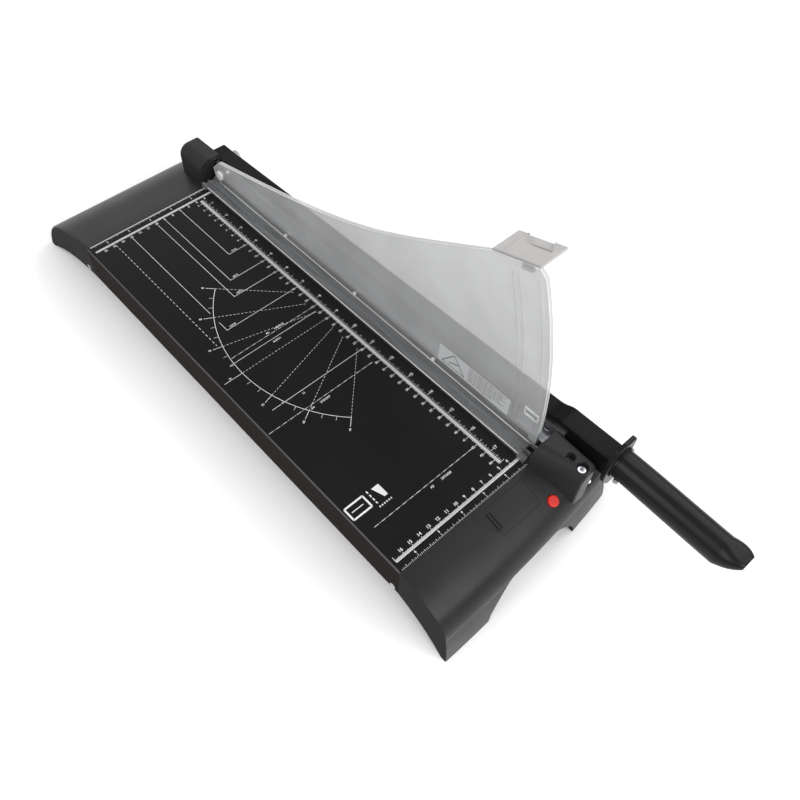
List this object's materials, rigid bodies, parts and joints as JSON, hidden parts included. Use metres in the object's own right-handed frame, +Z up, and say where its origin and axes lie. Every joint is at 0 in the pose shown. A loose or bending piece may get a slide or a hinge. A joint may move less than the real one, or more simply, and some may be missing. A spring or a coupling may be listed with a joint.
{
  "type": "lever-arm paper trimmer",
  "caption": "Table-top paper trimmer with a hinged blade arm and grip, a clear swinging guard over the cut line, a ruled bed between moulded end caps and a cut-line light.",
  "frame": {"origin": "centre of the overall box in plan, on the surface the feet stand on", "axes": "+Z up, +Y from the handle towards the pivot along the cut, +X across the bed towards the blade arm"},
  "size_m": [0.214, 0.75, 0.2539],
  "materials": {
    "bed_paint": "satin black",
    "cap_plastic": "satin charcoal",
    "arm_paint": "satin black",
    "handle_plastic": "satin black",
    "blade_steel": "ground",
    "bright_steel": "bright",
    "bronze": "sintered",
    "clear_plastic": "clear",
    "white_plastic": "gloss white",
    "red_plastic": "gloss red",
    "board_green": "satin green",
    "cell_wrap": "gloss blue",
    "rubber": "matt black"
  },
  "bodies": {
    "base": {"arm_rest": "rubber", "battery_cells": "cell_wrap", "battery_contacts": "bright_steel", "battery_tray": "cap_plastic", "bed_plate": "bed_paint", "blade_bar": "bright_steel", "block_screws": "bright_steel", "button_spring": "bright_steel", "cross_rails": "bed_paint", "fixed_blade": "blade_steel", "fixed_blade_screws": "bright_steel", "foot_pads": "rubber", "front_block": "cap_plastic", "front_end_cap": "cap_plastic", "guard_pin": "white_plastic", "light_switch": "white_plastic", "line_light": "white_plastic", "lock_nut": "bright_steel", "pivot_bolt": "bright_steel", "pivot_bracket": "bright_steel", "pivot_housing": "cap_plastic", "pivot_spacer": "bright_steel", "rear_end_cap": "cap_plastic", "shelf_screws": "bright_steel", "side_screws": "bright_steel", "spring_washer": "bright_steel", "switch_board": "board_green"},
    "arm": {"blade_arm": "arm_paint", "moving_blade": "blade_steel", "moving_blade_screws": "bright_steel", "pivot_bush": "bronze", "hand_guard": "handle_plastic", "handle_upper": "handle_plastic", "handle_lower": "handle_plastic", "handle_screw": "bright_steel"},
    "guard": {"guard_shield": "clear_plastic", "clamp_strip": "clear_plastic", "guard_rivets": "white_plastic", "arm_stop_tab": "clear_plastic"},
    "button": {"push_button": "red_plastic"},
    "door": {"battery_door": "cap_plastic"}
  },
  "joints": [
    {"name": "arm_hinge", "type": "hinge", "parent": "base", "child": "arm", "pos_m": [0.0795, 0.274, 0.074], "axis": [-1, 0, 0], "range_deg": [0, 18.2]},
    {"name": "guard_hinge", "type": "hinge", "parent": "base", "child": "guard", "pos_m": [0.057, 0.2466, 0.0853], "axis": [-1, 0, 0], "range_deg": [0, 4]},
    {"name": "button_push", "type": "slide", "parent": "base", "child": "button", "axis": [0, 0.4226, -0.9063], "range_m": [0, 0.0015], "stiffness_N_per_m": 600, "deforming": ["button_spring"]},
    {"name": "battery_door_lift", "type": "slide", "parent": "base", "child": "door", "axis": [0, 0, 1], "range_m": [0, 0.02]}
  ]
}
